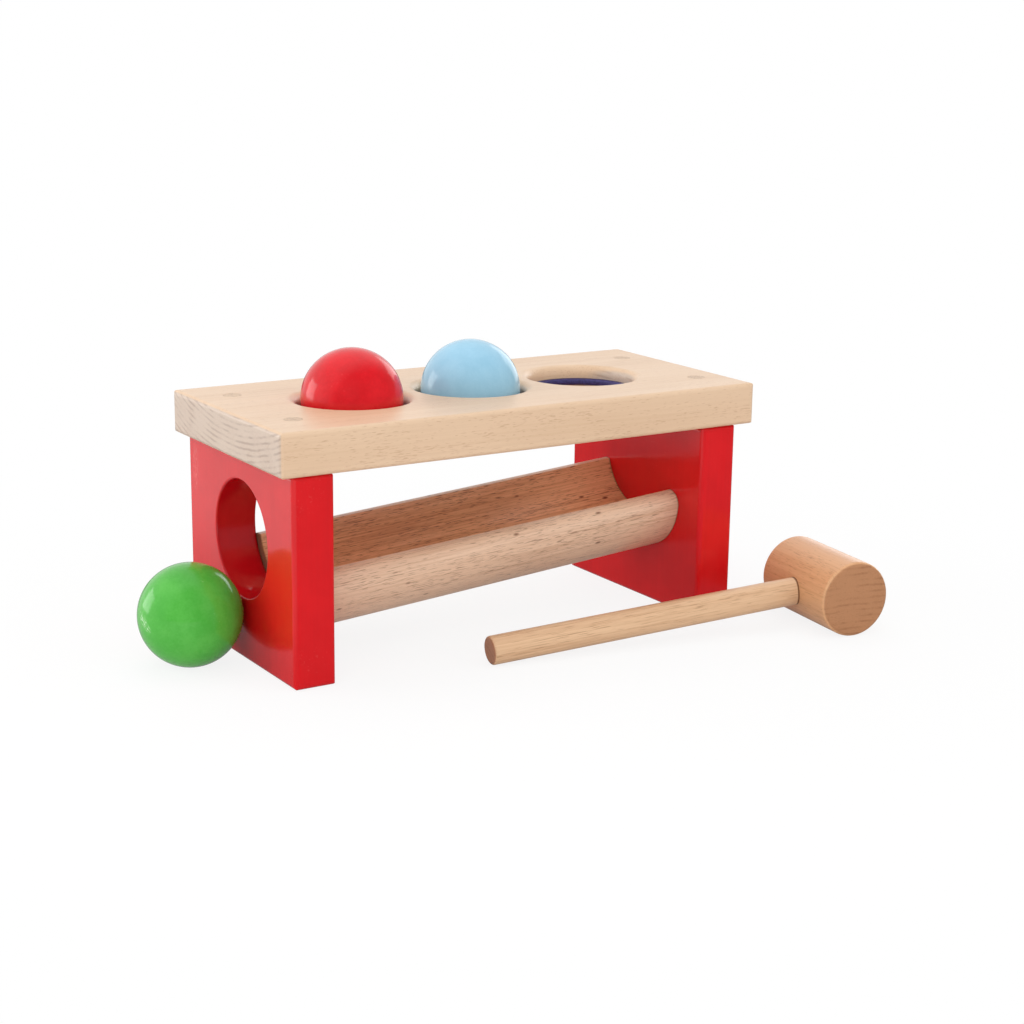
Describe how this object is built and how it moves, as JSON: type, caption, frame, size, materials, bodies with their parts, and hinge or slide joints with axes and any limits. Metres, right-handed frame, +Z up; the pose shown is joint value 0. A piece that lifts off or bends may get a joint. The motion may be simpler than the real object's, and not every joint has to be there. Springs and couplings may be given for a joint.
{
  "type": "ball pounding bench",
  "caption": "Wooden pounding toy: a board on red end panels holds balls in elastic-ringed holes; struck through, they roll down a chute to an exit hole. With mallet.",
  "frame": {"origin": "on the floor, below the middle of the box round the bench, the balls and the mallet", "axes": "+X along the board from the exit hole's end to the other end, +Y from its front to its back, +Z up"},
  "size_m": [0.3216, 0.1666, 0.1315],
  "materials": {
    "board_wood": "pale beech, clear satin lacquer",
    "panel_lacquer": "red gloss lacquer on wood",
    "chute_wood": "steamed beech, clear satin lacquer",
    "dowel_wood": "beech, end grain at the top, clear satin lacquer",
    "ring_rubber": "dark blue, matt",
    "red_ball_paint": "red gloss lacquer on wood",
    "light_blue_ball_paint": "light blue gloss lacquer on wood",
    "green_ball_paint": "green gloss lacquer on wood",
    "mallet_head_wood": "steamed beech, clear satin lacquer",
    "mallet_handle_wood": "pale beech, clear satin lacquer"
  },
  "bodies": {
    "bench": {"top_board": "board_wood", "left_end_panel": "panel_lacquer", "right_end_panel": "panel_lacquer", "chute": "chute_wood", "dowel_left_front": "dowel_wood", "dowel_left_rear": "dowel_wood", "dowel_right_front": "dowel_wood", "dowel_right_rear": "dowel_wood", "chute_dowel_left": "dowel_wood", "chute_dowel_right": "dowel_wood", "ring_left": "ring_rubber", "ring_middle": "ring_rubber", "ring_right": "ring_rubber"},
    "red_ball": {"red_ball": "red_ball_paint"},
    "light_blue_ball": {"light_blue_ball": "light_blue_ball_paint"},
    "green_ball": {"green_ball": "green_ball_paint"},
    "mallet": {"mallet_head": "mallet_head_wood", "mallet_handle": "mallet_handle_wood"}
  },
  "joints": [
    {"name": "red_ball_strike", "type": "slide", "parent": "bench", "child": "red_ball", "axis": [0, 0, 1], "range_m": [-0.0477, 0.06], "deforming": ["ring_left"]},
    {"name": "light_blue_ball_strike", "type": "slide", "parent": "bench", "child": "light_blue_ball", "axis": [0, 0, 1], "range_m": [-0.0422, 0.06], "deforming": ["ring_middle"]},
    {"name": "green_ball_roll", "type": "slide", "parent": "bench", "child": "green_ball", "axis": [-1, 0, 0], "range_m": [0, 0.12]},
    {"name": "mallet_lift", "type": "slide", "parent": "bench", "child": "mallet", "axis": [0, 0, 1], "range_m": [0, 0.12]}
  ]
}
